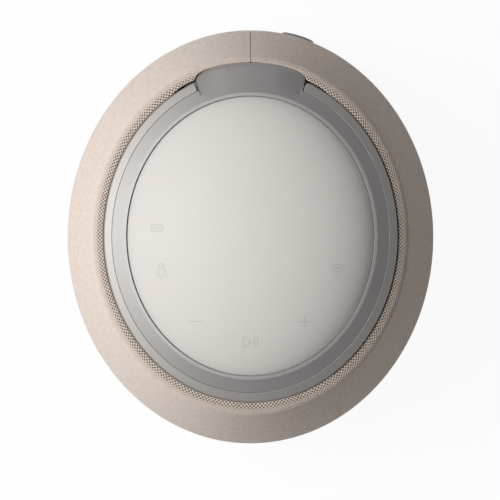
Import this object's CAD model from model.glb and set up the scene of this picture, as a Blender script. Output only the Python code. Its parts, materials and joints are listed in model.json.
"""Portable table speaker: woven sleeve, opal light dome, folding strap handle and rear port panel.

Lengths are millimetres except where a heading says metres; each mesh is brought to metres when its
piece is finished.
"""
import json
from math import acos, atan2, ceil, cos, degrees, hypot, pi, radians, sin, sqrt

import bmesh
import bpy
from mathutils import Matrix, Vector


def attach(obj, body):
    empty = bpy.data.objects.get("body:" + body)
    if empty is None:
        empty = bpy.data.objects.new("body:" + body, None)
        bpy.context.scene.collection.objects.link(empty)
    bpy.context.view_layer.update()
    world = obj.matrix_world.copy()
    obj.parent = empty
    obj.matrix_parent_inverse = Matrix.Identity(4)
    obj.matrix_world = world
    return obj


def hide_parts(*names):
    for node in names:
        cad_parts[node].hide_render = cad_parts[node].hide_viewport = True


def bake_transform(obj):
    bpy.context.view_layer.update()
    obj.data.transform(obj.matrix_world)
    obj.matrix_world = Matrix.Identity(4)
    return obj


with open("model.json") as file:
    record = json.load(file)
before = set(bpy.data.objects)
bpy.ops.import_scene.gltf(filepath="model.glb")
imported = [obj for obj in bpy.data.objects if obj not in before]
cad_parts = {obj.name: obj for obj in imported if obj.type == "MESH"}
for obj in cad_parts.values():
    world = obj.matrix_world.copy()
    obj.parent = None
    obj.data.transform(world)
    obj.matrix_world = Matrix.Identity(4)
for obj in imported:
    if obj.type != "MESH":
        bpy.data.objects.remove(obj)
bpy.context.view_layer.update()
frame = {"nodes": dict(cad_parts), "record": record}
nodes = frame["nodes"]

MM = 0.001
FULL_TURN = 2 * pi
REAR = pi / 2
STRETCH = 152.5 / 135.0
OVAL_SHARE = (STRETCH - 1.0) / (STRETCH + 1.0)
MERGE = 1e-4
FINE_MERGE = 1e-5
EDGE_SEGMENTS = 3

# Sleeve
WIDEST = 67.5
BASE_ROUND = 14.0
BASE_ARC = (53.5, 18.0)
HEM_RADIUS = 51.0
HEM_HEIGHT = BASE_ARC[1] - BASE_ROUND
WALL_TOP = 46.0
BODY_BEND = 150.0
TAPER = radians(9.27)
SHOULDER_ROUND = 5.0
SHOULDER_ARC = (50.55, 131.0)
SHOULDER_SLACK = (0.01, 0.05)
NECK_RADIUS = 51.38
NECK_TURN = 2.6
CLOTH = 0.9
SLEEVE_STEPS = 360
BASE_STEPS = 14
BEND_STEPS = 10
SHOULDER_STEPS = 12
LONG_EDGE = 4.0
EDGE_STEP = 2.2
SEAM_HALF = 0.13
SEAM_DEPTH = 0.35
SEAM_TAPE = 1.2
SEAM_WALL = 0.3
SEAM_STEPS = 2

# Knit: holes round the sleeve, rows along its run, and where the holes open and the yarn deepens
KNIT_ROUND = 268
KNIT_PITCH = 1.3
KNIT_OPENS = (142.4, 143.9)
KNIT_OPEN_SHARE = (0.18, 1.0)
KNIT_DEEPENS = (139.3, 142.4)
KNIT_DEEP_SHARE = (0.0, 0.54)
KNIT_HOLE_EDGE = (-0.12, 0.42)
KNIT_WOBBLE = 0.5
KNIT_ROUGH = (0.78, 0.95)
KNIT_SURFACE = {"Specular IOR Level": 0.2, "Sheen Weight": 0.12, "Sheen Roughness": 0.5}
KNIT_RELIEF = 0.35
WALE_STRETCH = (0.9, 0.22, 1.0)
WALE_DETAIL = 3.0
WALE_SHARE = 0.7
FUZZ_SHARE = 0.3
WALE_TONES = (0.36, 0.64)

# Rear panel's opening in the sleeve
PANEL_OUT = Vector((0.289703, 0.957117, 0.0))
PANEL_ACROSS = Vector((-0.957117, 0.289703, 0.0))
PANEL_CENTRE = Vector((17.470, 73.652, 30.0))
PANEL_REACH = 6.0
PANEL_HALF_WIDTH = 5.2
PANEL_HALF_HEIGHT = 15.0

# Dome
DOME_RADIUS = 43.04
DOME_SPREAD = 46.01
DOME_CENTRE = 131.694
DOME_CROWN = 21.8
DOME_WALL = 2.2
DOME_SEAT = 128.3
DOME_LEDGE = 130.0
DOME_LIP = 44.84
DOME_EDGE = 0.1
DOME_EDGE_ANGLE = 40.0
DOME_CRISP = 50.0
DOME_STEPS = 192
DOME_OUTER_STEPS = 36
DOME_INNER_STEPS = 24

# Bezel and its rear hinge tab
BEZEL_INNER = 43.09
BEZEL_LEDGE = 130.3
BEZEL_SEAT = 45.14
BEZEL_OUTER = 48.24
BEZEL_STEPS = 720
BEZEL_EDGE = 0.13
BEZEL_BEVEL_ANGLE = 24.0
BEZEL_CRISP = 12.0
RIM_EDGE = 44.15
RIM_RISE = 0.16
BAND_TOP = 140.32
BAND_FOOT = 132.0
BAND_SIDE = 137.6
BAND_RINGS = (0.64, 1.64)
CREASE = 138.6
FLANGE_RADIUS = 51.84
FLANGE_TOP = 130.5
DECK = 126.5
TAB_OUTER = 53.44
TAB_ROOT = 51.2
TAB_HALF = radians(21.95)
TAB_FULL = radians(17.0)
TAB_LEVEL = radians(9.0)
TAB_FALL = 1.5
TAB_BASE = 130.2
TAB_UNDERCUT = 0.5
TAB_FOOT = 0.8
TAB_ROUND = 0.7
TAB_SET_BACK = 0.9
TAB_ROOM = 0.32

# Strap handle and its hinge
HANDLE_INNER = 48.28
HANDLE_OUTER = 51.14
HANDLE_LOW = 135.4
HANDLE_TOP = 138.75
HANDLE_DROP = 1.21
HANDLE_CHAMFER = 0.35
HANDLE_LIFT = 0.16
HANDLE_EDGE = 0.14
HANDLE_EDGE_ANGLE = 30.0
HANDLE_CRISP = 40.0
HANDLE_END = radians(22.6)
HANDLE_STEPS = 280
HINGE = (18.98, 51.312, 136.1)
KNUCKLE = 1.3
KNUCKLE_LENGTH = 3.0
KNUCKLE_EDGE = 0.35
KNUCKLE_SIDES = 40
KNUCKLE_CAP_ANGLE = 60.0
NEAR_AXIS = 10.0
SWING_ROOM = 0.58
SWING_ENDS = (radians(27.5), radians(33.0))

# Flexible rings of the driver and the radiator; each bends between the two radii of its BEND
FLEX_SECTORS = 12
FLEX_STEPS = 6
FLEX_CRISP = 40.0
ROLL_STEPS = 14
SURROUND_FEET = (20.7, 21.4, 24.4, 25.1, 26.7)
SURROUND_LOW = 96.8
SURROUND_SEAT = 97.5
SURROUND_FACE = 98.1
SURROUND_ROLL = 1.6
SPIDER_EDGES = (8.9, 19.4)
SPIDER_LOW = 84.9
SPIDER_SHEET = 0.6
SPIDER_WAVE = 0.4
SPIDER_WAVES = 4
SPIDER_WAVE_STEPS = 8
RADIATOR_EDGES = (17.05, 23.95)
RADIATOR_LOW = 19.6
RADIATOR_SHEET = 0.8
RADIATOR_SAG = 2.76

# Printed symbols
LINE = 0.36
THIN_LINE = 0.3
THICK_LINE = 0.42
STROKE_STEP = 0.6
BOW_STEPS = 7
BOW_LEAST_STEPS = 6
INK = 0.03

# Finishes, with scales per metre and depths in metres; a BUMP is a depth and a strength
KNIT_FUZZ = 2400.0
KNIT_BUMP = (0.00022, 0.5)
SLOW_PATCH = 60.0
SLOW_DETAIL = 4.0
FINE_GRAIN = 2600.0
FINE_DEPTH = 0.00002
FINE_DETAIL = 2.0
NOISE_ROUGH = 0.55
NOISE_MIDDLE = 0.5
GRAIN_BUMP = 0.35
OPAL_SHADE = 0.985
OPAL_PATCH = 35.0
OPAL_GRAIN = 5200.0
OPAL_ROUGH = (0.54, 0.60)
OPAL_SURFACE = {
    "Subsurface Weight": 0.1, "Subsurface Scale": 0.004, "Subsurface Radius": (1.0, 0.9, 0.8),
    "Specular IOR Level": 0.25}
OPAL_BUMP = (0.000008, 0.2)
PAD_CELLS = 420.0
PAD_EDGE = (0.16, 0.22)
BOARD_GRAIN = 900.0
BOARD_ROUGH = (0.3, 0.48)
BOARD_BUMP = (0.00002, 0.3)
COIL_TURNS = 520.0
COIL_WAVER = 0.4
COIL_SHADE = 0.6
COIL_TONES = (0.1, 0.8)
COIL_ROUGH = (0.45, 0.28)
COIL_BUMP = (0.00008, 0.6)

# Camera, from straight above
CAMERA_HEIGHT = 1573.0
CAMERA_OFFSET = (-0.18, -4.85)
FOCAL_PIXELS = 4126.3
PHOTO = 500.0
SENSOR = 36.0
SIGHT_START = 0.8
SIGHT_ROUNDS = 6

# Floor and light, in metres and watts
FLOOR_HALF = 14.0
FLOOR_TONE = 0.8
FLOOR_ROUGH = 0.9
FLOOR_WHITE = 0.94
KEY_PLACE = (-0.85, 0.08, 1.5)
KEY_TARGET = (0.0, 0.0, 0.14)
KEY_SIZE = 0.9
KEY_POWER = 30.0
SKY = 0.07


def dome_height(x, y):
    """Height of the dome's outer face over a point of the plan."""
    reach = hypot(x, y / STRETCH) / DOME_SPREAD
    return DOME_CENTRE + DOME_CROWN * sqrt(max(0.0, 1.0 - reach * reach))


def plan_spot(column, row):
    """Point of the plan where a ray of the photograph's view meets the dome."""
    z = DOME_CENTRE + SIGHT_START * DOME_CROWN
    for _ in range(SIGHT_ROUNDS):
        scale = FOCAL_PIXELS / (CAMERA_HEIGHT - z)
        x = (column - PHOTO / 2) / scale + CAMERA_OFFSET[0]
        y = (PHOTO / 2 - row) / scale + CAMERA_OFFSET[1]
        z = dome_height(x, y)
    return x, y


def turn_from_rear(spot):
    """Angle of a point of the round plan, counted all the way round from the middle of the rear."""
    return (atan2(spot.y, spot.x) - REAR) % FULL_TURN


def from_rear(spot):
    """Angle of a point of the round plan from the middle of the rear, to either side."""
    return abs((atan2(spot.y, spot.x) - REAR + pi) % FULL_TURN - pi)


def tab_reach(off):
    """Outer radius of the hinge tab at an angle from the middle of the rear."""
    corner = min(1.0, max(0.0, (TAB_HALF - off) / (TAB_HALF - TAB_FULL)))
    return TAB_ROOT + (TAB_OUTER - TAB_ROOT) * sqrt(1.0 - (1.0 - corner) ** 2)


def smooth_step(a, b, t):
    t = min(1.0, max(0.0, (t - a) / (b - a)))
    return t * t * (3.0 - 2.0 * t)


# Mesh helpers

def chain(bm, verts):
    """Join vertices in a row by edges."""
    for a, b in zip(verts, verts[1:]):
        bm.edges.new((a, b))


def wire(bm, points):
    """Chain of vertices in the XZ plane, as (radius, height), joined by edges."""
    made = [bm.verts.new((r, 0.0, z)) for r, z in points]
    chain(bm, made)
    return made


def turn_about(bm, verts, angle, axis="Z", centre=(0, 0, 0)):
    bmesh.ops.rotate(bm, verts=verts, cent=centre, matrix=Matrix.Rotation(angle, 3, axis))


def sweep(bm, geom, angle, steps, centre=(0, 0, 0), axis=(0, 0, 1), closed=False):
    return bmesh.ops.spin(
        bm, geom=geom, cent=centre, axis=axis, dvec=(0, 0, 0), angle=angle, steps=steps,
        use_merge=closed, use_duplicate=False)


def swing_arc(bm, vert, centre, angle, steps):
    """Arc that starts at a vertex and turns about a point of the XZ plane; gives its last vertex."""
    made = sweep(bm, [vert], angle, steps, (centre[0], 0.0, centre[1]), (0.0, -1.0, 0.0))
    return [item for item in made["geom_last"] if isinstance(item, bmesh.types.BMVert)][0]


def turn_round(bm, start, angle, steps):
    """Spin every wire in the mesh about Z, from a start angle."""
    turn_about(bm, bm.verts, start)
    sweep(bm, bm.verts[:] + bm.edges[:], angle, steps, closed=angle == FULL_TURN)


def merge_close(bm):
    bmesh.ops.remove_doubles(bm, verts=bm.verts, dist=FINE_MERGE)


def close_mesh(bm):
    bmesh.ops.remove_doubles(bm, verts=bm.verts, dist=MERGE)
    bmesh.ops.recalc_face_normals(bm, faces=bm.faces)


def sweep_solid(bm, start, angle, steps):
    """Sweep an outline's face about Z, from a start angle, into a closed solid."""
    turn_about(bm, bm.verts, start)
    sweep(bm, bm.verts[:] + bm.edges[:] + bm.faces[:], angle, steps)
    close_mesh(bm)


def face_outwards(bm):
    """Turn the faces of an open shell about Z away from the axis, as tested at its widest."""
    bmesh.ops.recalc_face_normals(bm, faces=bm.faces)
    bm.normal_update()
    widest = max(bm.faces, key=lambda face: face.calc_center_median().xy.length)
    if widest.normal.xy.dot(widest.calc_center_median().xy) < 0:
        bmesh.ops.reverse_faces(bm, faces=bm.faces)


def round_edges(bm, width, least):
    """Round every edge whose faces meet at more than an angle."""
    sharp = [e for e in bm.edges if len(e.link_faces) == 2 and degrees(e.calc_face_angle(0.0)) > least]
    bmesh.ops.bevel(
        bm, geom=sharp, offset=width, offset_type="OFFSET", affect="EDGES", segments=EDGE_SEGMENTS,
        profile=0.5, material=-1, clamp_overlap=True)


def sharp_rims(bm):
    """Keep a sheet's rims from being shaded as round."""
    for edge in bm.edges:
        edge.smooth = not edge.is_boundary


def to_oval(bm):
    bmesh.ops.scale(bm, vec=(1.0, STRETCH, 1.0), verts=bm.verts)


def piece(name, bm, material, body, stands_for=()):
    """Finish a mesh as a piece of the object, in metres and at the origin; a bending piece names no body."""
    bmesh.ops.scale(bm, vec=(MM, MM, MM), verts=bm.verts)
    for face in bm.faces:
        face.smooth = True
    mesh = bpy.data.meshes.new(name)
    bm.to_mesh(mesh)
    bm.free()
    obj = bpy.data.objects.new(name, mesh)
    bpy.context.scene.collection.objects.link(obj)
    mesh.materials.append(material)
    if body:
        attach(obj, body)
    if stands_for:
        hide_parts(*stands_for)
    return obj


def thicken(obj, name, wall):
    """Give a sheet its thickness, inwards from its modelled face."""
    layer = obj.modifiers.new(name, "SOLIDIFY")
    layer.thickness = wall * MM
    layer.offset = -1.0


def crisp(obj, angle):
    """Keep edges sharper than an angle from being shaded as round."""
    obj.data.set_sharp_from_angle(angle=radians(angle))


# Material helpers

def blank(name):
    mat = bpy.data.materials.new(name)
    mat.use_nodes = True
    tree = mat.node_tree
    shader = next(n for n in tree.nodes if n.type == "BSDF_PRINCIPLED")
    return mat, tree, shader


def math_node(tree, operation, a, b=None):
    node = tree.nodes.new("ShaderNodeMath")
    node.operation = operation
    for socket, value in zip(node.inputs, (a, b)):
        if value is None:
            continue
        if isinstance(value, (int, float)):
            socket.default_value = value
        else:
            tree.links.new(value, socket)
    return node.outputs[0]


def set_sockets(node, values):
    for socket, value in values.items():
        node.inputs[socket].default_value = value


def own_coordinates(tree):
    return tree.nodes.new("ShaderNodeTexCoord").outputs["Object"]


def speckle(tree, scale, detail=3.0, stretch=None):
    """Noise on the piece's own coordinates."""
    noise = tree.nodes.new("ShaderNodeTexNoise")
    set_sockets(noise, {"Scale": scale, "Detail": detail, "Roughness": NOISE_ROUGH})
    source = own_coordinates(tree)
    if stretch:
        mapping = tree.nodes.new("ShaderNodeMapping")
        mapping.inputs["Scale"].default_value = stretch
        tree.links.new(source, mapping.inputs["Vector"])
        source = mapping.outputs["Vector"]
    tree.links.new(source, noise.inputs["Vector"])
    return noise.outputs["Fac"]


def tones(tree, factor, dark, light, low=0.3, high=0.7):
    """Colour ramp from a dark tone to a light one."""
    ramp = tree.nodes.new("ShaderNodeValToRGB")
    for element, place, colour in zip(ramp.color_ramp.elements, (low, high), (dark, light)):
        element.position = place
        element.color = (*colour, 1.0)
    tree.links.new(factor, ramp.inputs["Fac"])
    return ramp.outputs["Color"]


def levels(tree, factor, low, high):
    """A factor spread between two levels."""
    span = tree.nodes.new("ShaderNodeMapRange")
    set_sockets(span, {"To Min": low, "To Max": high})
    tree.links.new(factor, span.inputs["Value"])
    return span.outputs["Result"]


def smooth_rise(tree, value, start, end, low, high):
    """Soft step of a value from one level to another."""
    span = tree.nodes.new("ShaderNodeMapRange")
    span.interpolation_type = "SMOOTHSTEP"
    set_sockets(span, {"From Min": start, "From Max": end, "To Min": low, "To Max": high})
    tree.links.new(value, span.inputs["Value"])
    return span.outputs["Result"]


def toward(tree, colour, constant, factor):
    """Blend a colour towards a constant one."""
    mix = tree.nodes.new("ShaderNodeMix")
    mix.data_type = "RGBA"
    first, second = [s for s in mix.inputs if s.type == "RGBA"]
    second.default_value = (*constant, 1.0)
    tree.links.new(colour, first)
    tree.links.new(factor, mix.inputs["Factor"])
    return [s for s in mix.outputs if s.type == "RGBA"][0]


def emboss(tree, shader, height, distance, strength):
    bump = tree.nodes.new("ShaderNodeBump")
    set_sockets(bump, {"Strength": strength, "Distance": distance})
    tree.links.new(height, bump.inputs["Height"])
    tree.links.new(bump.outputs["Normal"], shader.inputs["Normal"])


# Finishes

def moulded(name, colour, spread, rough, grain=FINE_GRAIN, depth=FINE_DEPTH, metal=0.0, stretch=None):
    """Moulded, cast or plated finish: slow shifts of tone, fine grain in gloss and relief."""
    mat, tree, shader = blank(name)
    dark = tuple(c * (1.0 - spread) for c in colour)
    light = tuple(min(1.0, c * (1.0 + spread)) for c in colour)
    slow = speckle(tree, SLOW_PATCH, SLOW_DETAIL)
    tree.links.new(tones(tree, slow, dark, light), shader.inputs["Base Color"])
    fine = speckle(tree, grain, FINE_DETAIL, stretch)
    tree.links.new(levels(tree, fine, *rough), shader.inputs["Roughness"])
    shader.inputs["Metallic"].default_value = metal
    emboss(tree, shader, fine, depth, GRAIN_BUMP)
    return mat


def knitted(name, yarn, shade, deep, hole):
    """Open warp knit: staggered holes between yarns, fuzz and slow changes of tone."""
    mat, tree, shader = blank(name)
    uv = tree.nodes.new("ShaderNodeUVMap")
    uv.uv_map = "knit"
    split = tree.nodes.new("ShaderNodeSeparateXYZ")
    tree.links.new(uv.outputs["UV"], split.inputs["Vector"])
    column, row = split.outputs["X"], split.outputs["Y"]
    across = math_node(tree, "COSINE", math_node(tree, "MULTIPLY", column, FULL_TURN))
    along = math_node(tree, "COSINE", math_node(tree, "MULTIPLY", row, FULL_TURN))
    lattice = math_node(tree, "MULTIPLY", across, along)
    fuzz = speckle(tree, KNIT_FUZZ)
    noise = math_node(tree, "MULTIPLY", math_node(tree, "SUBTRACT", fuzz, NOISE_MIDDLE), KNIT_WOBBLE)
    wobble = math_node(tree, "ADD", lattice, noise)
    opens = [run / KNIT_PITCH for run in KNIT_OPENS]
    deepens = [run / KNIT_PITCH for run in KNIT_DEEPENS]
    pulled = smooth_rise(tree, row, *opens, *KNIT_OPEN_SHARE)
    deeper = smooth_rise(tree, row, *deepens, *KNIT_DEEP_SHARE)
    holes = smooth_rise(tree, wobble, *KNIT_HOLE_EDGE, 0.0, 1.0)
    opened = math_node(tree, "MULTIPLY", holes, pulled)
    wales = tree.nodes.new("ShaderNodeTexNoise")
    set_sockets(wales, {"Scale": 1.0, "Detail": WALE_DETAIL})
    stretch = tree.nodes.new("ShaderNodeMapping")
    stretch.inputs["Scale"].default_value = WALE_STRETCH
    tree.links.new(uv.outputs["UV"], stretch.inputs["Vector"])
    tree.links.new(stretch.outputs["Vector"], wales.inputs["Vector"])
    blend = math_node(
        tree, "ADD", math_node(tree, "MULTIPLY", wales.outputs["Fac"], WALE_SHARE),
        math_node(tree, "MULTIPLY", fuzz, FUZZ_SHARE))
    body = toward(tree, tones(tree, blend, shade, yarn, *WALE_TONES), deep, deeper)
    tree.links.new(toward(tree, body, hole, opened), shader.inputs["Base Color"])
    tree.links.new(levels(tree, fuzz, *KNIT_ROUGH), shader.inputs["Roughness"])
    set_sockets(shader, KNIT_SURFACE)
    relief = math_node(tree, "SUBTRACT", math_node(tree, "MULTIPLY", fuzz, KNIT_RELIEF), wobble)
    emboss(tree, shader, relief, *KNIT_BUMP)
    return mat


def opal(name, colour):
    """Milky light cover: fine satin surface and light that spreads below it."""
    mat, tree, shader = blank(name)
    dark = tuple(c * OPAL_SHADE for c in colour)
    tree.links.new(tones(tree, speckle(tree, OPAL_PATCH), dark, colour), shader.inputs["Base Color"])
    fine = speckle(tree, OPAL_GRAIN, FINE_DETAIL)
    tree.links.new(levels(tree, fine, *OPAL_ROUGH), shader.inputs["Roughness"])
    set_sockets(shader, OPAL_SURFACE)
    emboss(tree, shader, fine, *OPAL_BUMP)
    return mat


def circuit(name, mask_colour, pad_colour):
    """Circuit board: solder mask with small bright pads."""
    mat, tree, shader = blank(name)
    cells = tree.nodes.new("ShaderNodeTexVoronoi")
    cells.inputs["Scale"].default_value = PAD_CELLS
    tree.links.new(own_coordinates(tree), cells.inputs["Vector"])
    colour = tones(tree, cells.outputs["Distance"], pad_colour, mask_colour, *PAD_EDGE)
    tree.links.new(colour, shader.inputs["Base Color"])
    fine = speckle(tree, BOARD_GRAIN)
    tree.links.new(levels(tree, fine, *BOARD_ROUGH), shader.inputs["Roughness"])
    emboss(tree, shader, fine, *BOARD_BUMP)
    return mat


def wound(name, colour):
    """Wound wire: thin turns stacked along Z."""
    mat, tree, shader = blank(name)
    turns = tree.nodes.new("ShaderNodeTexWave")
    turns.bands_direction = "Z"
    set_sockets(turns, {"Scale": COIL_TURNS, "Distortion": COIL_WAVER})
    tree.links.new(own_coordinates(tree), turns.inputs["Vector"])
    height = turns.outputs["Fac"]
    dark = tuple(c * COIL_SHADE for c in colour)
    tree.links.new(tones(tree, height, dark, colour, *COIL_TONES), shader.inputs["Base Color"])
    tree.links.new(levels(tree, height, *COIL_ROUGH), shader.inputs["Roughness"])
    shader.inputs["Metallic"].default_value = 1.0
    emboss(tree, shader, height, *COIL_BUMP)
    return mat


seam_thread = moulded(
    "seam_thread", (0.20, 0.175, 0.16), spread=0.15, rough=(0.8, 0.95), grain=1500.0, depth=0.0001)
symbol_ink = moulded("symbol_print", (0.552, 0.525, 0.502), spread=0.02, rough=(0.54, 0.62))
finishes = {
    "rubber": moulded(
        "foot_rubber", (0.03, 0.03, 0.03), spread=0.15, rough=(0.75, 0.9), grain=1500.0, depth=0.00006),
    "base": moulded(
        "base_texture", (0.20, 0.19, 0.185), spread=0.06, rough=(0.5, 0.65), grain=1800.0, depth=0.00005),
    "fabric": knitted(
        "sleeve_knit", yarn=(0.94, 0.81, 0.715), shade=(0.82, 0.69, 0.60), deep=(0.44, 0.365, 0.31),
        hole=(0.075, 0.058, 0.045)),
    "bezel": moulded("bezel_satin", (0.365, 0.35, 0.348), spread=0.02, rough=(0.54, 0.59), metal=0.66),
    "handle": moulded("handle_satin", (0.415, 0.40, 0.384), spread=0.02, rough=(0.55, 0.60), metal=0.68),
    "dome": opal("dome_opal", (0.66, 0.628, 0.60)),
    "cell_wrap": moulded(
        "cell_wrap", (0.08, 0.20, 0.34), spread=0.08, rough=(0.25, 0.35), grain=700.0),
    "steel": moulded(
        "plated_steel", (0.55, 0.55, 0.56), spread=0.06, rough=(0.22, 0.36), grain=1600.0, metal=1.0),
    "board": circuit("board_mask", mask_colour=(0.03, 0.16, 0.08), pad_colour=(0.62, 0.55, 0.36)),
    "soft": moulded(
        "soft_rubber", (0.045, 0.045, 0.045), spread=0.12, rough=(0.6, 0.78), grain=1400.0, depth=0.00004),
    "magnet": moulded(
        "sintered_magnet", (0.10, 0.10, 0.105), spread=0.15, rough=(0.5, 0.7), grain=1100.0, depth=0.00006),
    "coil": wound("coil_winding", (0.72, 0.36, 0.16)),
    "cone": moulded(
        "pressed_fibre", (0.06, 0.06, 0.062), spread=0.2, rough=(0.8, 0.95), grain=1300.0, depth=0.0001,
        stretch=(1, 1, 3)),
    "lamp": moulded(
        "lamp_phosphor", (0.86, 0.74, 0.30), spread=0.05, rough=(0.3, 0.42), grain=900.0, depth=0.00003),
    "film": moulded(
        "touch_film", (0.72, 0.68, 0.55), spread=0.03, rough=(0.2, 0.3), grain=800.0, depth=0.00001),
    "panel": moulded(
        "panel_satin", (0.34, 0.325, 0.31), spread=0.04, rough=(0.42, 0.52), grain=2200.0, depth=0.00003),
    "weight": moulded(
        "cast_plate", (0.36, 0.36, 0.37), spread=0.1, rough=(0.4, 0.6), grain=900.0, depth=0.00006,
        metal=1.0),
    "inner": moulded(
        "inner_plastic", (0.05, 0.05, 0.053), spread=0.12, rough=(0.5, 0.65), grain=1500.0, depth=0.00004),
}
for part in frame["record"]["subparts"]:
    for place in nodes[part["node"]].material_slots:
        place.material = finishes[part["material_slot"]]


# Woven sleeve with its sewn rear seam

def neck_angle(radius):
    """Angle on the shoulder's round at which the cloth comes in to a radius."""
    return acos((radius - SHOULDER_ARC[0]) / SHOULDER_ROUND)


def neck_reach(off):
    """Radius of the neck round the hinge: clear of the tab and of the strap's turning ends."""
    clear = NECK_RADIUS + SWING_ROOM * (1.0 - smooth_step(*SWING_ENDS, off))
    return max(clear, tab_reach(off) + TAB_ROOM) if off < TAB_HALF else clear


def shoulder_point(angle):
    """Radius and height of a point on the shoulder's round."""
    return SHOULDER_ARC[0] + SHOULDER_ROUND * cos(angle), SHOULDER_ARC[1] + SHOULDER_ROUND * sin(angle)


def fit_round_tab(bm, run=None):
    """Draw the neck back behind the hinge tab, before the mesh is made oval."""
    start = shoulder_point(TAPER)[1] + SHOULDER_SLACK[0]
    full = neck_angle(NECK_RADIUS) - TAPER
    for vert in bm.verts:
        off = from_rear(vert.co)
        if off > SWING_ENDS[1] or vert.co.z < start:
            continue
        radius = hypot(vert.co.x, vert.co.y)
        outward, up = radius - SHOULDER_ARC[0], vert.co.z - SHOULDER_ARC[1]
        if hypot(outward, up) > SHOULDER_ROUND - SHOULDER_SLACK[1]:
            share = (atan2(up, outward) - TAPER) / full
            drop = 0.0
        else:
            share = 1.0
            drop = NECK_TURN
        angle = TAPER + share * (neck_angle(neck_reach(off)) - TAPER)
        reach, height = shoulder_point(angle)
        if run:
            vert[run] -= SHOULDER_ROUND * (TAPER + share * full - angle)
        grown = reach / radius
        vert.co = Vector((vert.co.x * grown, vert.co.y * grown, height - drop))


def draw_flank(bm):
    """Outer line of the sleeve from the hem up to the turned-in neck."""
    hem = wire(bm, [(HEM_RADIUS, HEM_HEIGHT), (BASE_ARC[0], HEM_HEIGHT)])
    low = swing_arc(bm, hem[-1], BASE_ARC, pi / 2, BASE_STEPS)
    wall, high = [bm.verts.new((r, 0.0, z)) for r, z in ((WIDEST, WALL_TOP), shoulder_point(TAPER))]
    bend = swing_arc(bm, wall, (WIDEST - BODY_BEND, WALL_TOP), TAPER, BEND_STEPS)
    neck = swing_arc(bm, high, SHOULDER_ARC, neck_angle(NECK_RADIUS) - TAPER, SHOULDER_STEPS)
    turned_in = bm.verts.new((neck.co.x, 0.0, neck.co.z - NECK_TURN))
    for ends in ((low, wall), (bend, high), (neck, turned_in)):
        chain(bm, ends)
    merge_close(bm)
    for edge in [e for e in bm.edges if e.calc_length() > LONG_EDGE]:
        bmesh.ops.subdivide_edges(bm, edges=[edge], cuts=ceil(edge.calc_length() / EDGE_STEP))


def measure_run(bm, run):
    """Note on each vertex of the flank its distance along the cloth from the hem."""
    vert = min(bm.verts, key=lambda v: (abs(v.co.z - HEM_HEIGHT), v.co.x))
    edge = None
    length = 0.0
    while True:
        vert[run] = length
        onward = [e for e in vert.link_edges if e is not edge]
        if not onward:
            break
        edge = onward[0]
        length += edge.calc_length()
        vert = edge.other_vert(vert)


def lay_knit(bm, run):
    """Lay the knit's map: holes counted evenly round the oval, and rows along the cloth."""
    knit = bm.loops.layers.uv.new("knit")
    for face in bm.faces:
        about = turn_from_rear(face.calc_center_median())
        for loop in face.loops:
            here = turn_from_rear(loop.vert.co)
            if here - about > pi:
                here -= FULL_TURN
            if about - here > pi:
                here += FULL_TURN
            even = here - OVAL_SHARE / 2 * sin(2 * here)
            loop[knit].uv = (even / FULL_TURN * KNIT_ROUND, loop.vert[run] / KNIT_PITCH)


def open_for_panel(bm):
    """Take out the cloth behind the rear panel."""
    behind = []
    for face in bm.faces:
        spot = face.calc_center_median() - PANEL_CENTRE
        near = spot.dot(PANEL_OUT) > -PANEL_REACH
        beside = abs(spot.dot(PANEL_ACROSS)) < PANEL_HALF_WIDTH
        if near and beside and abs(spot.z) < PANEL_HALF_HEIGHT:
            behind.append(face)
    bmesh.ops.delete(bm, geom=behind, context="FACES")


def make_sleeve():
    bm = bmesh.new()
    run = bm.verts.layers.float.new("run")
    draw_flank(bm)
    measure_run(bm, run)
    half = SEAM_HALF / WIDEST
    turn_round(bm, REAR + half, FULL_TURN - 2 * half, SLEEVE_STEPS)
    merge_close(bm)
    face_outwards(bm)
    fit_round_tab(bm, run)
    lay_knit(bm, run)
    to_oval(bm)
    open_for_panel(bm)
    sharp_rims(bm)
    made = piece("sleeve", bm, finishes["fabric"], "speaker", ["fabric_sleeve"])
    thicken(made, "cloth", CLOTH)
    return made


def make_seam():
    """Narrow tape sewn behind the joined edges of the sleeve."""
    bm = bmesh.new()
    draw_flank(bm)
    half = SEAM_TAPE / 2 / WIDEST
    turn_round(bm, REAR - half, 2 * half, SEAM_STEPS)
    merge_close(bm)
    face_outwards(bm)
    fit_round_tab(bm)
    to_oval(bm)
    bm.normal_update()
    for vert in bm.verts:
        vert.co -= vert.normal * SEAM_DEPTH
    made = piece("seam_tape", bm, seam_thread, "speaker")
    thicken(made, "tape", SEAM_WALL)
    return made


# Opal light dome

def crown_arc(bm, reach, inset, steps):
    """Arc of the dome, set in by a distance, from a plan radius to the axis; gives its first vertex."""
    known = set(bm.verts)
    spread = DOME_SPREAD - inset
    start = acos(reach / spread)
    first = bm.verts.new((reach, 0.0, spread * sin(start)))
    swing_arc(bm, first, (0.0, 0.0), pi / 2 - start, steps)
    fresh = [v for v in bm.verts if v not in known]
    bmesh.ops.scale(bm, vec=(1.0, 1.0, (DOME_CROWN - inset) / spread), verts=fresh)
    bmesh.ops.translate(bm, vec=(0.0, 0.0, DOME_CENTRE), verts=fresh)
    return first


def make_dome():
    bm = bmesh.new()
    inner = DOME_RADIUS - DOME_WALL
    rim = crown_arc(bm, DOME_RADIUS, 0.0, DOME_OUTER_STEPS)
    first = crown_arc(bm, inner, DOME_WALL, DOME_INNER_STEPS)
    skirt = [bm.verts.new((r, 0.0, z)) for r, z in (
        (DOME_RADIUS, DOME_LEDGE), (DOME_LIP, DOME_LEDGE), (DOME_LIP, DOME_SEAT), (inner, DOME_SEAT))]
    chain(bm, [rim, *skirt, first])
    turn_round(bm, 0.0, FULL_TURN, DOME_STEPS)
    close_mesh(bm)
    round_edges(bm, DOME_EDGE, DOME_EDGE_ANGLE)
    to_oval(bm)
    dome = piece("dome", bm, finishes["dome"], "speaker", ["light_dome"])
    crisp(dome, DOME_CRISP)


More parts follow.
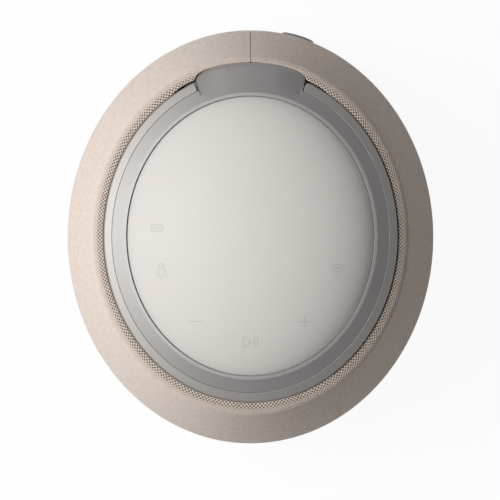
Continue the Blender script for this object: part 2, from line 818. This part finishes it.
# Bezel ring that widens into the rear hinge tab

def make_bezel():
    """Turn the ring from its outline; an outline point numbered 1 to 5 takes that place on the tab."""
    slope = (BAND_TOP - CREASE) / (BEZEL_OUTER - RIM_EDGE)
    outline = [
        (BEZEL_INNER, BEZEL_LEDGE, 0), (BEZEL_SEAT, BEZEL_LEDGE, 0), (BEZEL_SEAT, DECK, 0),
        (FLANGE_RADIUS, DECK, 0), (FLANGE_RADIUS, FLANGE_TOP, 0), (BEZEL_OUTER, FLANGE_TOP, 1),
        (BEZEL_OUTER, BAND_FOOT, 2), (BEZEL_OUTER, BAND_SIDE, 3), (BEZEL_OUTER, CREASE, 4),
        (BEZEL_OUTER - BAND_RINGS[0], CREASE + BAND_RINGS[0] * slope, 5),
        (BEZEL_OUTER - BAND_RINGS[1], CREASE + BAND_RINGS[1] * slope, 0),
        (RIM_EDGE, BAND_TOP, 0), (BEZEL_INNER, BAND_TOP + RIM_RISE, 0)]
    bm = bmesh.new()
    kind = bm.verts.layers.int.new("kind")
    made = wire(bm, [(r, z) for r, z, _ in outline])
    chain(bm, [made[-1], made[0]])
    for vert, (_, _, which) in zip(made, outline):
        vert[kind] = which
    turn_round(bm, 0.0, FULL_TURN, BEZEL_STEPS)
    merge_close(bm)
    for vert in bm.verts:
        off = from_rear(vert.co)
        if not vert[kind] or off > TAB_HALF:
            continue
        angle = atan2(vert.co.y, vert.co.x) - REAR
        reach = tab_reach(off)
        fall = TAB_FALL * smooth_step(TAB_LEVEL, TAB_HALF, off)
        edge_z = CREASE - slope * (reach - BEZEL_OUTER) - fall
        radius, z = {
            1: (BEZEL_OUTER, FLANGE_TOP),
            2: (reach - TAB_UNDERCUT, TAB_BASE),
            3: (reach, TAB_BASE + TAB_FOOT),
            4: (reach, edge_z - TAB_ROUND),
            5: (reach - TAB_SET_BACK, edge_z + TAB_SET_BACK * slope)}[vert[kind]]
        vert.co = Vector((-radius * sin(angle), radius * cos(angle), z))
    bmesh.ops.recalc_face_normals(bm, faces=bm.faces)
    to_oval(bm)
    bezel = piece("bezel", bm, finishes["bezel"], "speaker", ["bezel_ring"])
    crisp(bezel, BEZEL_CRISP)
    soften = bezel.modifiers.new("edges", "BEVEL")
    soften.width = BEZEL_EDGE * MM
    soften.segments = EDGE_SEGMENTS
    soften.limit_method = "ANGLE"
    soften.angle_limit = radians(BEZEL_BEVEL_ANGLE)
    soften.harden_normals = True


# Folding strap handle

def add_knuckle(bm, side):
    """Round hinge knuckle at one end of the strap."""
    knuckle = set(bmesh.ops.create_cone(
        bm, cap_ends=True, segments=KNUCKLE_SIDES, radius1=KNUCKLE, radius2=KNUCKLE,
        depth=KNUCKLE_LENGTH)["verts"])
    own = [e for e in bm.edges if e.verts[0] in knuckle and e.verts[1] in knuckle]
    caps = [e for e in own if degrees(e.calc_face_angle(0.0)) > KNUCKLE_CAP_ANGLE]
    bmesh.ops.bevel(
        bm, geom=caps, offset=KNUCKLE_EDGE, offset_type="OFFSET", affect="EDGES", segments=EDGE_SEGMENTS,
        profile=0.5, material=-1)
    fresh = [v for v in bm.verts if hypot(v.co.x, v.co.y) < NEAR_AXIS]
    turn_about(bm, fresh, pi / 2, "Y")
    bmesh.ops.translate(
        bm, verts=fresh, vec=(side * (HINGE[0] + KNUCKLE_LENGTH / 2), HINGE[1], HINGE[2]))


def make_handle():
    outer_top = HANDLE_TOP - HANDLE_DROP
    bm = bmesh.new()
    bm.faces.new(wire(bm, [
        (HANDLE_INNER, HANDLE_LOW), (HANDLE_OUTER, HANDLE_LOW), (HANDLE_OUTER, outer_top - HANDLE_CHAMFER),
        (HANDLE_OUTER - HANDLE_CHAMFER, outer_top + HANDLE_LIFT), (HANDLE_INNER, HANDLE_TOP)]))
    sweep_solid(bm, REAR + HANDLE_END, FULL_TURN - 2 * HANDLE_END, HANDLE_STEPS)
    round_edges(bm, HANDLE_EDGE, HANDLE_EDGE_ANGLE)
    to_oval(bm)
    for side in (-1, 1):
        add_knuckle(bm, side)
    handle = piece("strap_handle", bm, finishes["handle"], "handle", ["carry_handle"])
    crisp(handle, HANDLE_CRISP)
    flat = handle.modifiers.new("flat_faces", "WEIGHTED_NORMAL")
    flat.keep_sharp = True


# Flexible rings, in sectors that bend with the travel of the cone and of the radiator

def roll_arc(bm, first, end, rise):
    """Arc between two feet of one height, over a crown or under a sag, anticlockwise in the XZ plane."""
    half = abs(end - first.co.x) / 2
    radius = (half * half + rise * rise) / (2 * abs(rise))
    lift = rise - radius if rise > 0 else rise + radius
    centre = ((first.co.x + end) / 2, first.co.z + lift)
    return swing_arc(bm, first, centre, 2 * atan2(half, radius - abs(rise)), ROLL_STEPS)


def surround_outline(bm):
    inner, lip, start, shoulder, outer = SURROUND_FEET
    over = bm.verts.new((shoulder, 0.0, SURROUND_FACE))
    under = bm.verts.new((start, 0.0, SURROUND_SEAT))
    over_end = roll_arc(bm, over, inner, SURROUND_ROLL)
    under_end = roll_arc(bm, under, lip, SURROUND_ROLL)
    foot = [bm.verts.new((r, 0.0, SURROUND_LOW)) for r in (inner, lip)]
    seat = [bm.verts.new((outer, 0.0, z)) for z in (SURROUND_SEAT, SURROUND_FACE)]
    chain(bm, [over_end, *foot, under_end])
    chain(bm, [under, *seat, over])


def radiator_outline(bm):
    inner, outer = RADIATOR_EDGES
    starts = [bm.verts.new((inner, 0.0, z)) for z in (RADIATOR_LOW, RADIATOR_LOW + RADIATOR_SHEET)]
    chain(bm, starts)
    chain(bm, [roll_arc(bm, first, outer, -RADIATOR_SAG) for first in starts])


def spider_outline(bm):
    inner, outer = SPIDER_EDGES
    high = SPIDER_LOW + SPIDER_SHEET
    corners = wire(bm, [(inner, SPIDER_LOW), (outer, SPIDER_LOW), (outer, high), (inner, high)])
    chain(bm, [corners[-1], corners[0]])
    sides = [e for e in bm.edges if e.calc_length() > 2 * SPIDER_SHEET]
    bmesh.ops.subdivide_edges(bm, edges=sides, cuts=SPIDER_WAVE_STEPS * SPIDER_WAVES - 1)
    for vert in bm.verts:
        share = (vert.co.x - inner) / (outer - inner)
        vert.co.z += SPIDER_WAVE * sin(pi * share) * sin(FULL_TURN * SPIDER_WAVES * share)


def make_flex(name, outline, slot, node):
    """Ring in sectors: each bends from its moving inner edge to its held outer edge."""
    turn = FULL_TURN / FLEX_SECTORS
    for i in range(FLEX_SECTORS):
        bm = bmesh.new()
        outline(bm)
        merge_close(bm)
        bmesh.ops.edgeloop_fill(bm, edges=bm.edges[:])
        sweep_solid(bm, (i - 0.5) * turn, turn, FLEX_STEPS)
        sector = piece(f"{name}_{i + 1:02d}", bm, finishes[slot], None, [node])
        crisp(sector, FLEX_CRISP)
        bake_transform(sector)


# Touch symbols printed on the dome, each drawn about its own middle

def bar(bm, x0, y0, x1, y1, width=LINE):
    """Straight stroke between two points of the plan."""
    length = hypot(x1 - x0, y1 - y0)
    cuts = max(1, ceil(length / STROKE_STEP))
    made = bmesh.ops.create_grid(bm, x_segments=cuts, y_segments=1, size=0.5)["verts"]
    bmesh.ops.scale(bm, vec=(length + width, width, 1.0), verts=made)
    turn_about(bm, made, atan2(y1 - y0, x1 - x0))
    bmesh.ops.translate(bm, vec=((x0 + x1) / 2, (y0 + y1) / 2, 0.0), verts=made)


def bow(bm, x, y, radius, start, angle):
    """Round stroke about a point of the plan, between angles in degrees."""
    ends = [bm.verts.new((x + radius + side * LINE / 2, y, 0.0)) for side in (-1, 1)]
    edge = bm.edges.new(ends)
    turn_about(bm, ends, radians(start), centre=(x, y, 0.0))
    steps = max(BOW_LEAST_STEPS, ceil(radians(angle) * BOW_STEPS))
    sweep(bm, [*ends, edge], radians(angle), steps, (x, y, 0.0))


def box_outline(bm, x0, y0, x1, y1):
    corners = [(x0, y0), (x1, y0), (x1, y1), (x0, y1)]
    for start, end in zip(corners, corners[1:] + corners[:1]):
        bar(bm, *start, *end)


def plus_sign(bm):
    bar(bm, -2.3, 0.0, 2.3, 0.0)
    bar(bm, 0.0, -1.9, 0.0, 1.9)


def minus_sign(bm):
    bar(bm, -2.3, 0.0, 2.3, 0.0)


def play_pause(bm):
    bar(bm, -2.4, -1.9, -2.4, 1.9)
    bar(bm, -2.4, 1.9, 0.5, 0.0)
    bar(bm, 0.5, 0.0, -2.4, -1.9)
    bar(bm, 1.35, -1.9, 1.35, 1.9)
    bar(bm, 2.4, -1.9, 2.4, 1.9)


def bulb(bm):
    middle, ray_start, ray_end = -0.4, 1.95, 2.6
    bow(bm, 0.0, middle, 1.35, -245, 310)
    for x in (-0.57, 0.57):
        bar(bm, x, 0.82, x, 1.5)
    box_outline(bm, -0.75, 1.5, 0.75, 2.5)
    for angle in (0, 180, 225, 270, 315):
        c, s = cos(radians(angle)), sin(radians(angle))
        bar(bm, ray_start * c, ray_start * s + middle, ray_end * c, ray_end * s + middle, THIN_LINE)


def battery(bm):
    box_outline(bm, -2.0, -1.2, 1.6, 1.2)
    for x in (-1.25, -0.2, 0.85):
        bar(bm, x, -0.45, x, 0.45, THICK_LINE)
    bar(bm, 2.05, -0.35, 2.05, 0.35)


def wireless(bm):
    foot = -1.9
    made = bmesh.ops.create_circle(bm, cap_ends=True, segments=20, radius=0.4)["verts"]
    bmesh.ops.translate(bm, vec=(0.0, foot, 0.0), verts=made)
    for radius in (1.4, 2.6, 3.8):
        bow(bm, 0.0, foot, radius, 45, 90)


def make_symbol(name, draw, column, row):
    """Print a symbol on the dome, at its place in the photograph's view."""
    bm = bmesh.new()
    draw(bm)
    bmesh.ops.translate(bm, vec=(*plan_spot(column, row), 0.0), verts=bm.verts)
    bmesh.ops.recalc_face_normals(bm, faces=bm.faces)
    bmesh.ops.reverse_faces(bm, faces=[f for f in bm.faces if f.normal.z < 0])
    for vert in bm.verts:
        vert.co.z = dome_height(vert.co.x, vert.co.y) + INK
    sharp_rims(bm)
    thicken(piece(name, bm, symbol_ink, "speaker"), "ink", INK)


# Floor, light and camera

def make_floor():
    """Pale floor that takes the object's shadow and is seen as near white."""
    bm = bmesh.new()
    bmesh.ops.create_grid(bm, x_segments=1, y_segments=1, size=FLOOR_HALF)
    mesh = bpy.data.meshes.new("floor")
    bm.to_mesh(mesh)
    bm.free()
    floor = bpy.data.objects.new("floor", mesh)
    bpy.context.scene.collection.objects.link(floor)
    mat, tree, shader = blank("pale_floor")
    shader.inputs["Base Color"].default_value = (FLOOR_TONE, FLOOR_TONE, FLOOR_TONE, 1.0)
    shader.inputs["Roughness"].default_value = FLOOR_ROUGH
    glow = tree.nodes.new("ShaderNodeEmission")
    glow.inputs["Strength"].default_value = 1.0
    path = tree.nodes.new("ShaderNodeLightPath")
    seen = math_node(tree, "MAXIMUM", path.outputs["Is Camera Ray"], path.outputs["Is Glossy Ray"])
    seen = math_node(tree, "MAXIMUM", seen, path.outputs["Is Transmission Ray"])
    mix = tree.nodes.new("ShaderNodeMixShader")
    tree.links.new(math_node(tree, "MULTIPLY", seen, FLOOR_WHITE), mix.inputs["Fac"])
    tree.links.new(shader.outputs["BSDF"], mix.inputs[1])
    tree.links.new(glow.outputs["Emission"], mix.inputs[2])
    out = next(n for n in tree.nodes if n.type == "OUTPUT_MATERIAL")
    tree.links.new(mix.outputs["Shader"], out.inputs["Surface"])
    mesh.materials.append(mat)


def make_lamp():
    data = bpy.data.lights.new("key_left", "AREA")
    data.shape = "DISK"
    data.size = KEY_SIZE
    data.energy = KEY_POWER
    obj = bpy.data.objects.new("key_left", data)
    obj.location = KEY_PLACE
    obj.rotation_euler = (Vector(KEY_TARGET) - Vector(KEY_PLACE)).to_track_quat("-Z", "Y").to_euler()
    bpy.context.scene.collection.objects.link(obj)


def make_world():
    world = bpy.data.worlds.new("studio")
    world.use_nodes = True
    set_sockets(world.node_tree.nodes["Background"], {"Color": (1.0, 1.0, 1.0, 1.0), "Strength": SKY})
    bpy.context.scene.world = world


def make_camera():
    data = bpy.data.cameras.new("camera")
    data.sensor_width = SENSOR
    data.lens = FOCAL_PIXELS * SENSOR / PHOTO
    camera = bpy.data.objects.new("camera", data)
    camera.location = (CAMERA_OFFSET[0] * MM, CAMERA_OFFSET[1] * MM, CAMERA_HEIGHT * MM)
    bpy.context.scene.collection.objects.link(camera)
    bpy.context.scene.camera = camera


sleeve = make_sleeve()
seam_tape = make_seam()
make_dome()
make_bezel()
make_handle()
make_flex("surround", surround_outline, "soft", "cone_surround")
make_flex("spider_cloth", spider_outline, "cone", "spider")
make_flex("radiator_roll", radiator_outline, "soft", "radiator_surround")
for symbol in (
        ("symbol_wireless", wireless, 338.0, 270.0), ("symbol_plus", plus_sign, 305.0, 321.5),
        ("symbol_play", play_pause, 250.5, 342.0), ("symbol_minus", minus_sign, 195.0, 321.5),
        ("symbol_bulb", bulb, 161.5, 271.0), ("symbol_battery", battery, 157.0, 228.0)):
    make_symbol(*symbol)

make_floor()
make_lamp()
make_world()
make_camera()
bpy.context.scene.view_settings.view_transform = "Standard"
